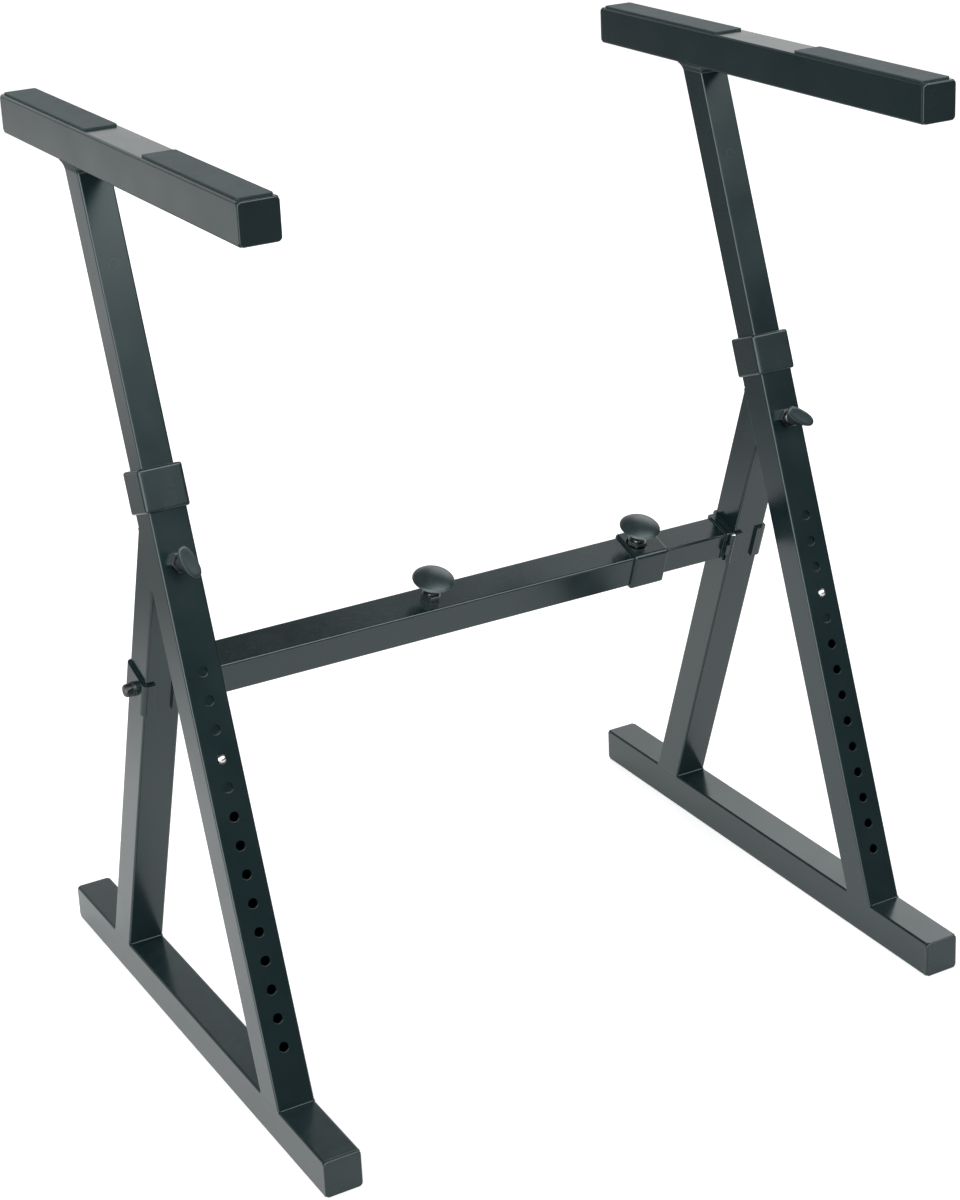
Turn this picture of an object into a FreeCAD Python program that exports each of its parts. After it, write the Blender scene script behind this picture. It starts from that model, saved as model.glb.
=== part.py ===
import FreeCAD, Part
import math
import os

import Sketcher
from FreeCAD import Placement, Rotation, Vector

# Folding keyboard stand, Z style, of square steel tube.
# X runs across the stand (left is -X), Y runs back, Z runs up from the floor.
# The origin is on the floor, midway between the two sides and midway along the feet.
# The left side is modelled; the right side is its mirror image.

doc = FreeCAD.newDocument("KeyboardStand")
sheet = doc.addObject("Spreadsheet::Sheet", "Sizes")


# ---------------------------------------------------------------- sizes

class Size:
    """A size: its value now, and the expression that follows the sheet."""

    def __init__(self, value, text):
        self.value = value
        self.text = text

    def __add__(self, other):
        return joined(self, "+", other)

    def __sub__(self, other):
        return joined(self, "-", other)

    def __mul__(self, other):
        return joined(self, "*", other)

    def __truediv__(self, other):
        return joined(self, "/", other)

    def __neg__(self):
        return Size(-self.value, "-(%s)" % self.text)


def as_size(item):
    return item if isinstance(item, Size) else Size(float(item), "%.6g" % item)


def joined(first, mark, second):
    a = as_size(first)
    b = as_size(second)
    value = {
        "+": lambda: a.value + b.value,
        "-": lambda: a.value - b.value,
        "*": lambda: a.value * b.value,
        "/": lambda: a.value / b.value,
    }[mark]()
    return Size(value, "(%s %s %s)" % (a.text, mark, b.text))


def sine(angle):
    return Size(math.sin(math.radians(angle.value)), "sin(%s)" % angle.text)


def cosine(angle):
    return Size(math.cos(math.radians(angle.value)), "cos(%s)" % angle.text)


def tangent(angle):
    return Size(math.tan(math.radians(angle.value)), "tan(%s)" % angle.text)


rows = []


def size(name, value):
    """Write one driving size in the sheet and return it."""
    rows.append(name)
    sheet.set("A%d" % len(rows), name)
    sheet.set("B%d" % len(rows), str(value))
    sheet.setAlias("B%d" % len(rows), name)
    return Size(float(value), "Sizes." + name)


ZERO = Size(0.0, "0")

# Overall
stand_width = size("stand_width", 666.0)
foot_length = size("foot_length", 562.0)
arm_length = size("arm_length", 511.4)
arm_shift = size("arm_shift", -1.0)
arm_bottom = size("arm_bottom", 810.0)

# Square tubes
tube_side = size("tube_side", 35.0)
tube_wall = size("tube_wall", 2.0)
tube_round = size("tube_round", 2.0)
inner_side = size("inner_side", 30.0)
inner_wall = size("inner_wall", 2.0)
inner_round = size("inner_round", 1.8)
bore_round = size("bore_round", 0.8)

# Leg and strut: where their centre lines leave the foot, and their lean
leg_foot_y = size("leg_foot_y", -175.0)
leg_lean = size("leg_lean", 19.36)
strut_foot_y = size("strut_foot_y", 160.8)
strut_lean = size("strut_lean", 19.77)

# Index holes in the leg, and what they hold
hole_pitch = size("hole_pitch", 25.4)
hole_bore = size("hole_bore", 9.0)
hole_count = size("hole_count", 14)
holes_below = size("holes_below", 10)
button_at = size("button_at", 295.85)
button_width = size("button_width", 8.0)
button_out = size("button_out", 3.5)
button_flange = size("button_flange", 12.0)
button_flange_thick = size("button_flange_thick", 1.5)
leaf_thick = size("leaf_thick", 0.8)
leaf_width = size("leaf_width", 10.0)
leaf_length = size("leaf_length", 62.0)
leaf_below = size("leaf_below", 7.0)

# Inner post
post_from = size("post_from", 270.85)
post_hole_at = size("post_hole_at", 730.4)
post_hole_bore = size("post_hole_bore", 8.0)

# Guides on the inner tube ends
guide_gap = size("guide_gap", 0.3)
guide_flange = size("guide_flange", 4.0)
guide_depth = size("guide_depth", 12.0)
guide_bore = size("guide_bore", 20.0)
plug_gap = size("plug_gap", 0.05)

# Collars on the outer tube mouths
collar_at = size("collar_at", 517.85)
collar_length = size("collar_length", 38.0)
collar_skin = size("collar_skin", 3.0)
collar_round = size("collar_round", 3.6)
collar_lip = size("collar_lip", 3.0)
collar_edge = size("collar_edge", 2.3)
mouth_gap = size("mouth_gap", 0.2)

# End caps and pads
cap_flange = size("cap_flange", 3.0)
cap_round = size("cap_round", 4.0)
cap_edge = size("cap_edge", 1.4)
cap_depth = size("cap_depth", 14.0)
cap_skin = size("cap_skin", 2.0)
pad_thick = size("pad_thick", 2.0)
pad_inset = size("pad_inset", 2.5)
pad_round = size("pad_round", 2.5)
pad_edge = size("pad_edge", 0.6)
pad_end_gap = size("pad_end_gap", 2.0)
front_pad_length = size("front_pad_length", 183.0)
back_pad_length = size("back_pad_length", 196.0)

# Crossbar
bar_at = size("bar_at", 325.3)
bar_tube_length = size("bar_tube_length", 504.9)
inner_bar_length = size("inner_bar_length", 504.5)
left_knob_at = size("left_knob_at", 252.5)
right_knob_in = size("right_knob_in", 12.0)

# Saddles around the strut at the crossbar
saddle_sheet = size("saddle_sheet", 3.0)
saddle_height = size("saddle_height", 35.0)
outer_flange = size("outer_flange", 9.0)
inner_flange = size("inner_flange", 8.75)

# Fold hinge
plate_gap = size("plate_gap", 0.4)
plate_thick = size("plate_thick", 5.1)
hinge_out = size("hinge_out", 2.5)
hinge_front = size("hinge_front", 1.8)
barrel_radius = size("barrel_radius", 3.2)
barrel_gap = size("barrel_gap", 0.3)
middle_knuckle = size("middle_knuckle", 12.0)
ear_front = size("ear_front", 2.0)
ear_back = size("ear_back", 5.3)
pin_width = size("pin_width", 3.2)
pin_gap = size("pin_gap", 0.05)
pin_head_width = size("pin_head_width", 5.2)
pin_head_tall = size("pin_head_tall", 1.2)

# Lock bolt
bolt_width = size("bolt_width", 8.0)
bolt_gap = size("bolt_gap", 0.2)
bolt_head_width = size("bolt_head_width", 13.8)
bolt_head_flats = size("bolt_head_flats", 11.6)
bolt_head_long = size("bolt_head_long", 9.5)
bolt_head_edge = size("bolt_head_edge", 1.2)
bolt_flange = size("bolt_flange", 2.2)
dog_width = size("dog_width", 6.0)
dog_long = size("dog_long", 4.0)
dog_edge = size("dog_edge", 1.0)
dog_gap = size("dog_gap", 1.0)

# Clamp screws and their welded nuts
stud_width = size("stud_width", 10.0)
stud_hole_gap = size("stud_hole_gap", 1.0)
thread_gap = size("thread_gap", 0.05)
tip_gap = size("tip_gap", 0.3)
nut_flats = size("nut_flats", 17.0)
nut_tall = size("nut_tall", 8.0)
nut_clear = size("nut_clear", 0.5)

# Wing knob on the leg
knob_at = size("knob_at", 471.85)
wing_off = size("wing_off", 11.0)
wing_hub_width = size("wing_hub_width", 16.0)
wing_hub_tall = size("wing_hub_tall", 14.0)
wing_hub_edge = size("wing_hub_edge", 2.0)
wing_span = size("wing_span", 32.0)
wing_thick = size("wing_thick", 12.0)
wing_foot = size("wing_foot", 2.0)
wing_low = size("wing_low", 7.0)
wing_high = size("wing_high", 16.0)
wing_dip = size("wing_dip", 13.0)
wing_tip = size("wing_tip", 4.0)
wing_corner = size("wing_corner", 2.0)
left_wing_turn = size("left_wing_turn", 70.0)
right_wing_turn = size("right_wing_turn", 37.0)

# Mushroom knobs on the crossbar
dome_width = size("dome_width", 40.0)
dome_off = size("dome_off", 22.0)
dome_rim = size("dome_rim", 3.0)
dome_tall = size("dome_tall", 8.0)
dome_hub_width = size("dome_hub_width", 18.0)
dome_hub_off = size("dome_hub_off", 10.5)
dome_dish = size("dome_dish", 16.0)
stud_grip = size("stud_grip", 9.0)

# Lengths that follow from the sizes above
half_tube = tube_side / 2
half_inner = inner_side / 2
side_x = half_tube - stand_width / 2
bar_left = tube_side + saddle_sheet + plate_gap + plate_thick - stand_width / 2
bar_end = bar_left + bar_tube_length
strut_reach = ((strut_foot_y - leg_foot_y)
               / (tangent(leg_lean) + tangent(strut_lean)) / cosine(strut_lean))
post_reach = (arm_bottom - tube_side) / cosine(leg_lean)
leg_top = collar_at + collar_length - collar_lip
barrel_x = half_tube + hinge_out
barrel_y = -(half_tube + hinge_front)


# ---------------------------------------------------------------- frames

class Frame:
    """An origin in the stand, with the lean of its Z axis about the X axis."""

    def __init__(self, x, y, z, lean=None, sense=1):
        self.x = x
        self.y = y
        self.z = z
        self.lean = lean
        self.sense = sense

    def moved(self, dx, dy, dz):
        """The same frame, with its origin moved along its own axes."""
        if self.lean is None:
            return Frame(self.x + dx, self.y + dy, self.z + dz)
        along = cosine(self.lean)
        across = sine(self.lean) * self.sense
        y = self.y + dy * along - dz * across
        z = self.z + dy * across + dz * along
        return Frame(self.x + dx, y, z, self.lean, self.sense)


foot_frame = Frame(side_x, ZERO, half_tube)
arm_frame = Frame(side_x, arm_shift, arm_bottom + half_tube)
leg_frame = Frame(side_x, leg_foot_y, tube_side, leg_lean, -1)
strut_frame = Frame(side_x, strut_foot_y, tube_side, strut_lean, 1)
saddle_frame = strut_frame.moved(ZERO, ZERO, bar_at)
bar_frame = Frame(ZERO, saddle_frame.y, saddle_frame.z, strut_lean, 1)


def place(item, frame):
    """Stand an object on a frame and keep it there when sizes change."""
    axis = Vector(frame.sense, 0, 0)
    angle = frame.lean.value if frame.lean else 0.0
    base = Vector(frame.x.value, frame.y.value, frame.z.value)
    item.Placement = Placement(base, Rotation(axis, angle))
    item.setExpression("Placement.Base.x", frame.x.text)
    item.setExpression("Placement.Base.y", frame.y.text)
    item.setExpression("Placement.Base.z", frame.z.text)
    if frame.lean:
        item.setExpression("Placement.Rotation.Angle", frame.lean.text)


# ---------------------------------------------------------------- sketches

def new_body(name, frame):
    body = doc.addObject("PartDesign::Body", name)
    body.Label = name
    place(body, frame)
    return body


def new_sketch(body, name, role, offset=None, turn=None):
    """A sketch on one of the body's origin planes, lifted or turned if asked."""
    sketch = body.newObject("Sketcher::SketchObject", "%s_%s" % (body.Name, name))
    plane = [f for f in body.Origin.OriginFeatures if f.Role == role][0]
    sketch.AttachmentSupport = [(plane, "")]
    sketch.MapMode = "FlatFace"
    if turn is not None:
        sketch.AttachmentOffset = Placement(Vector(), Rotation(Vector(0, 1, 0), turn.value))
        sketch.setExpression("AttachmentOffset.Rotation.Angle", turn.text)
    if offset is not None:
        sketch.setExpression("AttachmentOffset.Base.z", offset.text)
    return sketch


def dimension(sketch, name, length, kind, *where):
    index = sketch.addConstraint(Sketcher.Constraint(kind, *where, length.value))
    sketch.renameConstraint(index, name)
    sketch.setExpression("Constraints." + name, length.text)


def pin_point(sketch, name, geo, end, x, y):
    """Hold a point at x, y from the sketch's origin."""
    if x is ZERO:
        sketch.addConstraint(Sketcher.Constraint("PointOnObject", geo, end, -2))
    else:
        dimension(sketch, name + "_x", x, "DistanceX", -1, 1, geo, end)
    if y is ZERO:
        sketch.addConstraint(Sketcher.Constraint("PointOnObject", geo, end, -1))
    else:
        dimension(sketch, name + "_y", y, "DistanceY", -1, 1, geo, end)


def rounded_rectangle(sketch, name, wide, deep, radius):
    """A rectangle about the origin with rounded corners."""
    w = wide.value / 2
    d = deep.value / 2
    r = radius.value
    up = Vector(0, 0, 1)
    right = math.pi / 2
    first = sketch.GeometryCount
    lines = [
        (Vector(r - w, d, 0), Vector(w - r, d, 0)),
        (Vector(w, d - r, 0), Vector(w, r - d, 0)),
        (Vector(w - r, -d, 0), Vector(r - w, -d, 0)),
        (Vector(-w, r - d, 0), Vector(-w, d - r, 0)),
    ]
    corners = [
        (Vector(w - r, d - r, 0), 0),
        (Vector(w - r, r - d, 0), -right),
        (Vector(r - w, r - d, 0), -2 * right),
        (Vector(r - w, d - r, 0), right),
    ]
    for line, (centre, start) in zip(lines, corners):
        sketch.addGeometry(Part.LineSegment(*line), False)
        circle = Part.Circle(centre, up, r)
        sketch.addGeometry(Part.ArcOfCircle(circle, start, start + right), False)
    for step in range(4):
        line = first + 2 * step
        arc = line + 1
        following = first + (2 * step + 2) % 8
        sketch.addConstraint(Sketcher.Constraint("Tangent", line, 2, arc, 2))
        sketch.addConstraint(Sketcher.Constraint("Tangent", arc, 1, following, 1))
        if step:
            sketch.addConstraint(Sketcher.Constraint("Equal", first + 1, arc))
    for line, kind in ((0, "Horizontal"), (2, "Vertical"), (4, "Horizontal"), (6, "Vertical")):
        sketch.addConstraint(Sketcher.Constraint(kind, first + line))
    sketch.addConstraint(Sketcher.Constraint("Symmetric", first + 1, 3, first + 5, 3, -1, 1))
    dimension(sketch, name + "_wide", wide, "DistanceX", first + 6, 1, first + 2, 1)
    dimension(sketch, name + "_deep", deep, "DistanceY", first + 4, 1, first, 1)
    dimension(sketch, name + "_round", radius, "Radius", first + 1)


def circle(sketch, name, width, x=ZERO, y=ZERO):
    geo = sketch.GeometryCount
    shape = Part.Circle(Vector(x.value, y.value, 0), Vector(0, 0, 1), width.value / 2)
    sketch.addGeometry(shape, False)
    if x is ZERO and y is ZERO:
        sketch.addConstraint(Sketcher.Constraint("Coincident", geo, 3, -1, 1))
    else:
        pin_point(sketch, name, geo, 3, x, y)
    dimension(sketch, name + "_width", width, "Diameter", geo)


def outline(sketch, name, corners, domes=()):
    """A closed profile through corners; a dome side is an arc about the Y axis."""
    first = sketch.GeometryCount
    count = len(corners)
    points = [Vector(x.value, y.value, 0) for x, y in corners]
    ends = []
    for side in range(count):
        start = points[side]
        finish = points[(side + 1) % count]
        geo = first + side
        if side not in domes:
            sketch.addGeometry(Part.LineSegment(start, finish), False)
            ends.append((1, 2))
            continue
        top, rim = (start, finish) if abs(start.x) < 1e-9 else (finish, start)
        drop = rim - top
        centre = Vector(0, top.y + drop.Length ** 2 / (2 * drop.y), 0)
        outward = (start - centre) + (finish - centre)
        middle = centre + outward.normalize() * (top - centre).Length
        sketch.addGeometry(Part.Arc(start, middle, finish), False)
        sketch.addConstraint(Sketcher.Constraint("PointOnObject", geo, 3, -2))
        near = (sketch.getPoint(geo, 1) - start).Length < 1e-4
        ends.append((1, 2) if near else (2, 1))
    for side in range(count):
        after = (side + 1) % count
        sketch.addConstraint(Sketcher.Constraint(
            "Coincident", first + side, ends[side][1], first + after, ends[after][0]))
    for side, (x, y) in enumerate(corners):
        pin_point(sketch, "%s%d" % (name, side), first + side, ends[side][0], x, y)


def rectangle(sketch, name, x0, y0, x1, y1):
    outline(sketch, name, [(x0, y0), (x1, y0), (x1, y1), (x0, y1)])


def hexagon(sketch, name, flats):
    """A regular hexagon about the origin, with two corners on the X axis."""
    radius = flats / math.sqrt(3)
    first = sketch.GeometryCount
    points = [Vector(radius.value, 0, 0)]
    for step in range(1, 6):
        turn = Rotation(Vector(0, 0, 1), 60 * step)
        points.append(turn.multVec(points[0]))
    for step in range(6):
        sketch.addGeometry(Part.LineSegment(points[step], points[(step + 1) % 6]), False)
    ring = Part.Circle(Vector(), Vector(0, 0, 1), radius.value)
    guide = sketch.addGeometry(ring, True)
    sketch.addConstraint(Sketcher.Constraint("Coincident", guide, 3, -1, 1))
    for step in range(6):
        line = first + step
        after = first + (step + 1) % 6
        sketch.addConstraint(Sketcher.Constraint("Coincident", line, 2, after, 1))
        sketch.addConstraint(Sketcher.Constraint("PointOnObject", line, 1, guide))
        if step:
            sketch.addConstraint(Sketcher.Constraint("Equal", first, line))
    sketch.addConstraint(Sketcher.Constraint("PointOnObject", first, 1, -1))
    dimension(sketch, name + "_corner", radius, "Radius", guide)


# ---------------------------------------------------------------- features

def shape_feature(kind, body, name, sketch, length, way):
    """Way is with, against or both, told from the sketch's own normal."""
    feature = body.newObject("PartDesign::" + kind, "%s_%s" % (body.Name, name))
    feature.Profile = sketch
    feature.setExpression("Length", length.text)
    if way == "both":
        feature.SideType = "Symmetric"
    else:
        feature.Reversed = (way == "against") == (kind == "Pad")
    sketch.Visibility = False
    return feature


def pad(body, name, sketch, length, way="with"):
    return shape_feature("Pad", body, name, sketch, length, way)


def pocket(body, name, sketch, length, way="both"):
    return shape_feature("Pocket", body, name, sketch, length, way)


def revolve(body, name, sketch, axis):
    feature = body.newObject("PartDesign::Revolution", "%s_%s" % (body.Name, name))
    feature.Profile = sketch
    feature.ReferenceAxis = (sketch, [axis])
    feature.Angle = 360.0
    return feature


def soften(kind, body, name, radius, chosen):
    """Fillet or chamfer the edges of the body so far that chosen() picks."""
    doc.recompute()
    tip = body.Tip
    names = []
    for number, edge in enumerate(tip.Shape.Edges, 1):
        if chosen(edge):
            names.append("Edge%d" % number)
    feature = body.newObject("PartDesign::" + kind, "%s_%s" % (body.Name, name))
    feature.Base = (tip, names)
    feature.setExpression("Radius" if kind == "Fillet" else "Size", radius.text)
    return feature


def at_level(axis, level):
    """Picks the edges that lie in one plane across an axis."""
    def chosen(edge):
        spots = [getattr(v.Point, axis) for v in edge.Vertexes]
        box = edge.BoundBox
        deep = getattr(box, axis.upper() + "Length")
        return deep < 1e-4 and all(abs(s - level.value) < 1e-4 for s in spots)
    return chosen


def mirrored(source, name, across=Vector(1, 0, 0), at=None):
    twin = doc.addObject("Part::Mirroring", name)
    twin.Label = name
    twin.Source = source
    twin.Normal = across
    if at is not None:
        twin.setExpression("Base.y", at.text)
    return twin


def cut(name, base, tool):
    """What is left of base once tool is taken out of it."""
    result = doc.addObject("Part::Cut", name)
    result.Label = name
    result.Base = base
    result.Tool = tool
    return result


def block(name, frame, low, high):
    """A box between two corners given in a frame; used to cope tube ends."""
    box = doc.addObject("Part::Box", name)
    box.setExpression("Length", (high[0] - low[0]).text)
    box.setExpression("Width", (high[1] - low[1]).text)
    box.setExpression("Height", (high[2] - low[2]).text)
    place(box, frame.moved(*low))
    return box


# ---------------------------------------------------------------- repeated pieces

def tube_section(sketch, side, wall, radius):
    rounded_rectangle(sketch, "skin", side, side, radius)
    bore = side - wall * 2
    rounded_rectangle(sketch, "bore", bore, bore, bore_round)


def square_tube(name, frame, role, side, wall, radius, start, length, way="with"):
    body = new_body(name, frame)
    sketch = new_sketch(body, "section", role, start)
    tube_section(sketch, side, wall, radius)
    pad(body, "length", sketch, length, way)
    return body


def end_cap(name, frame):
    """A cap for the front end of a tube along Y; its flange faces -Y."""
    body = new_body(name, frame)
    face = new_sketch(body, "face", "XZ_Plane")
    rounded_rectangle(face, "face", tube_side, tube_side, cap_round)
    pad(body, "flange", face, cap_flange)
    plug_side = tube_side - tube_wall * 2 - plug_gap * 2
    plug = new_sketch(body, "plug", "XZ_Plane")
    rounded_rectangle(plug, "plug", plug_side, plug_side, bore_round)
    hollow = plug_side - cap_skin * 2
    rounded_rectangle(plug, "hollow", hollow, hollow, cap_edge)
    pad(body, "depth", plug, cap_depth, "against")
    soften("Fillet", body, "edge", cap_edge, at_level("y", -cap_flange))
    return body


def collar(name, frame, role, start, axis):
    """A sleeve over the mouth of an outer tube, with a lip that guides the inner tube."""
    body = new_body(name, frame)
    side = tube_side + collar_skin * 2
    sleeve = new_sketch(body, "sleeve", role, start)
    rounded_rectangle(sleeve, "skin", side, side, collar_round)
    seat = tube_side + plug_gap * 2
    rounded_rectangle(sleeve, "seat", seat, seat, tube_round)
    pad(body, "seat", sleeve, collar_length - collar_lip)
    lip = new_sketch(body, "lip", role, start + collar_length - collar_lip)
    rounded_rectangle(lip, "skin", side, side, collar_round)
    mouth = inner_side + mouth_gap * 2
    rounded_rectangle(lip, "mouth", mouth, mouth, inner_round)
    pad(body, "mouth", lip, collar_lip)
    half = side.value / 2 - 1e-3

    def outside(edge, level):
        flat = at_level(axis, level)(edge)
        box = edge.BoundBox
        spans = [box.XMax, -box.XMin, box.YMax, -box.YMin, box.ZMax, -box.ZMin]
        if axis == "z":
            spans = spans[:4]
        if axis == "x":
            spans = spans[2:]
        return flat and max(spans) > half - collar_round.value

    soften("Fillet", body, "edge", collar_edge,
           lambda e: (outside(e, start) or outside(e, start + collar_length))
           and not inside_bore(e, axis))
    return body


def inside_bore(edge, axis):
    """True for an edge that bounds a tube seat or mouth inside a collar."""
    box = edge.BoundBox
    spans = {"x": (box.YMax, -box.YMin, box.ZMax, -box.ZMin),
             "z": (box.XMax, -box.XMin, box.YMax, -box.YMin)}[axis]
    return max(spans) < half_tube.value + plug_gap.value + 0.1


def guide(name, frame, role, end, way):
    """A plug in the end of an inner tube, whose flange runs in the outer tube."""
    body = new_body(name, frame)
    other = "against" if way == "with" else "with"
    flange = new_sketch(body, "flange", role, end)
    side = tube_side - tube_wall * 2 - guide_gap * 2
    rounded_rectangle(flange, "flange", side, side, inner_round)
    circle(flange, "bore", guide_bore)
    pad(body, "flange", flange, guide_flange, way)
    plug = new_sketch(body, "plug", role, end)
    side = inner_side - inner_wall * 2 - plug_gap * 2
    rounded_rectangle(plug, "plug", side, side, bore_round)
    circle(plug, "bore", guide_bore)
    pad(body, "depth", plug, guide_depth, other)
    return body


def weld_nut(name, frame, role, way):
    body = new_body(name, frame)
    sketch = new_sketch(body, "hexagon", role)
    hexagon(sketch, "nut", nut_flats)
    circle(sketch, "thread", stud_width + thread_gap * 2)
    pad(body, "tall", sketch, nut_tall, way)
    return body


def wing_knob(name, frame, turn):
    """A two-winged knob on an axis along -Y, standing off the leg's face."""
    body = new_body(name, frame)
    hub = new_sketch(body, "hub", "XY_Plane")
    near = -wing_off
    far = near - wing_hub_tall
    radius = wing_hub_width / 2
    grip = near - stud_grip
    outline(hub, "hub", [
        (stud_width / 2, near), (radius - wing_hub_edge, near),
        (radius, near - wing_hub_edge), (radius, far + wing_hub_edge),
        (radius - wing_hub_edge, far), (ZERO, far), (ZERO, grip), (stud_width / 2, grip)])
    revolve(body, "hub", hub, "V_Axis")
    wings = new_sketch(body, "wings", "XY_Plane", turn=turn)
    half = wing_span / 2
    root = near - wing_foot
    core = wing_hub_width / 2 - wing_hub_edge
    outline(wings, "wing", [
        (core, root), (half - wing_tip / 2, near - wing_low),
        (half, near - wing_low - wing_tip / 2), (half, near - wing_high + wing_tip / 2),
        (half - wing_tip / 2, near - wing_high), (half - wing_tip, near - wing_high),
        (core, near - wing_dip)])
    outline(wings, "twin", [
        (-core, root), (-(half - wing_tip / 2), near - wing_low),
        (-half, near - wing_low - wing_tip / 2), (-half, near - wing_high + wing_tip / 2),
        (-(half - wing_tip / 2), near - wing_high), (-(half - wing_tip), near - wing_high),
        (-core, near - wing_dip)])
    pad(body, "wings", wings, wing_thick, "both")

    def across_wing(edge):
        straight = abs(edge.Length - wing_thick.value) < 1e-3
        far_out = edge.CenterOfMass.distanceToPoint(Vector(0, edge.CenterOfMass.y, 0))
        return straight and far_out > radius.value

    soften("Fillet", body, "tips", wing_corner, across_wing)
    return body


def dome_knob(name, frame):
    """A mushroom knob on an axis along Z, with a dished underside."""
    body = new_body(name, frame)
    sketch = new_sketch(body, "section", "XZ_Plane")
    rim = dome_width / 2
    hub = dome_hub_width / 2
    grip = dome_hub_off + stud_grip
    top = dome_off + dome_tall
    outline(sketch, "dome", [
        (stud_width / 2, dome_hub_off), (hub - dome_rim / 2, dome_hub_off),
        (hub, dome_dish), (rim - dome_rim, dome_off), (rim, dome_off + dome_rim / 2),
        (rim - dome_rim / 2, dome_off + dome_rim), (ZERO, top), (ZERO, grip),
        (stud_width / 2, grip)], domes=[5])
    revolve(body, "dome", sketch, "V_Axis")
    return body


def dome_stud(name, frame):
    body = new_body(name, frame)
    sketch = new_sketch(body, "section", "XZ_Plane")
    tip = tip_gap - (half_tube - half_inner)
    outline(sketch, "stud", [
        (ZERO, tip), (stud_width / 2 - dog_edge, tip), (stud_width / 2, tip + dog_edge),
        (stud_width / 2, dome_hub_off + stud_grip), (ZERO, dome_hub_off + stud_grip)])
    revolve(body, "stud", sketch, "V_Axis")
    return body


# ---------------------------------------------------------------- left side, fixed pieces

sides = []

foot_tube = square_tube("left_foot_tube", foot_frame, "XZ_Plane", tube_side, tube_wall,
                        tube_round, None, foot_length - cap_flange * 2, "both")
foot_front = end_cap("left_foot_front_cap",
                     foot_frame.moved(ZERO, cap_flange - foot_length / 2, ZERO))
foot_back = mirrored(foot_front, "left_foot_back_cap", Vector(0, 1, 0), ZERO)
sides += [foot_tube, foot_front, foot_back]

# Blocks that stand for the foot and the leg where other tubes are coped onto them
foot_block = block("foot_block", foot_frame, (-tube_side, -foot_length / 2, -half_tube),
                   (tube_side, foot_length / 2, half_tube))
leg_block = block("leg_block", leg_frame, (-tube_side, -strut_reach, half_tube),
                  (tube_side, half_tube, strut_reach + strut_reach))
arm_block = block("arm_block", arm_frame, (-tube_side, -arm_length / 2, -half_tube),
                  (tube_side, arm_length / 2, half_tube))

# Leg: stock from just inside the foot to the collar, index holes in the front wall
leg_sink = half_tube * tangent(leg_lean) + tube_wall
leg_stock = square_tube("left_leg_stock", leg_frame, "XY_Plane", tube_side, tube_wall,
                        tube_round, -leg_sink, leg_top + leg_sink)
holes = new_sketch(leg_stock, "holes", "XZ_Plane")
circle(holes, "index", hole_bore, ZERO, button_at - hole_pitch * holes_below)
first_hole = pocket(leg_stock, "hole", holes, half_tube + tube_wall, "with")
row = leg_stock.newObject("PartDesign::LinearPattern", "left_leg_stock_row")
row.Originals = [first_hole]
row.Direction = (holes, ["V_Axis"])
row.Length = hole_pitch.value * 13
row.Occurrences = 14
row.setExpression("Length", (hole_pitch * (hole_count - 1)).text)
row.setExpression("Occurrences", hole_count.text)
leg_stock.Tip = row
stud_hole = new_sketch(leg_stock, "stud_hole", "XZ_Plane")
circle(stud_hole, "stud", stud_width + stud_hole_gap * 2, ZERO, knob_at)
pocket(leg_stock, "stud_hole", stud_hole, half_tube + tube_wall, "with")
sides.append(cut("left_leg_tube", leg_stock, foot_block))

# Strut: stock from inside the foot to inside the leg, holes for the lock bolt
strut_sink = half_tube * tangent(strut_lean) + tube_wall
strut_stock = square_tube("left_strut_stock", strut_frame, "XY_Plane", tube_side, tube_wall,
                          tube_round, -strut_sink, strut_reach + strut_sink + tube_side)
bolt_holes = new_sketch(strut_stock, "bolt_holes", "YZ_Plane")
circle(bolt_holes, "bolt", bolt_width + bolt_gap * 2, ZERO, bar_at)
pocket(strut_stock, "bolt_holes", bolt_holes, tube_side + tube_wall)
strut_footed = cut("left_strut_footed", strut_stock, foot_block)
sides.append(cut("left_strut_tube", strut_footed, leg_block))

leg_collar = collar("left_leg_collar", leg_frame, "XY_Plane", collar_at, "z")
leg_face = leg_frame.moved(ZERO, -half_tube, knob_at)
leg_nut = weld_nut("left_leg_nut", leg_face, "XZ_Plane", "with")
sides += [leg_collar, leg_nut]


# ---------------------------------------------------------------- saddles and fold hinge

def saddle_ring(body, reach, toward):
    """A bent U of sheet around the strut; toward is +1 for a web on the +X face."""
    ring = new_sketch(body, "ring", "XY_Plane")
    side = tube_side + saddle_sheet * 2
    rounded_rectangle(ring, "skin", side, side, tube_round + saddle_sheet)
    rounded_rectangle(ring, "seat", tube_side, tube_side, tube_round)
    pad(body, "ring", ring, saddle_height, "both")
    mouth = new_sketch(body, "mouth", "XY_Plane")
    lip = (half_tube - reach) * toward
    rectangle(mouth, "mouth", lip, -tube_side, -(tube_side * toward), tube_side)
    pocket(body, "mouth", mouth, saddle_height + saddle_sheet)
    hole = new_sketch(body, "bolt_hole", "YZ_Plane")
    circle(hole, "bolt", bolt_width + bolt_gap * 2)
    pocket(body, "bolt_hole", hole, tube_side * 2)


outer_saddle = new_body("left_outer_saddle", saddle_frame)
saddle_ring(outer_saddle, outer_flange, -1)
sides.append(outer_saddle)

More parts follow.
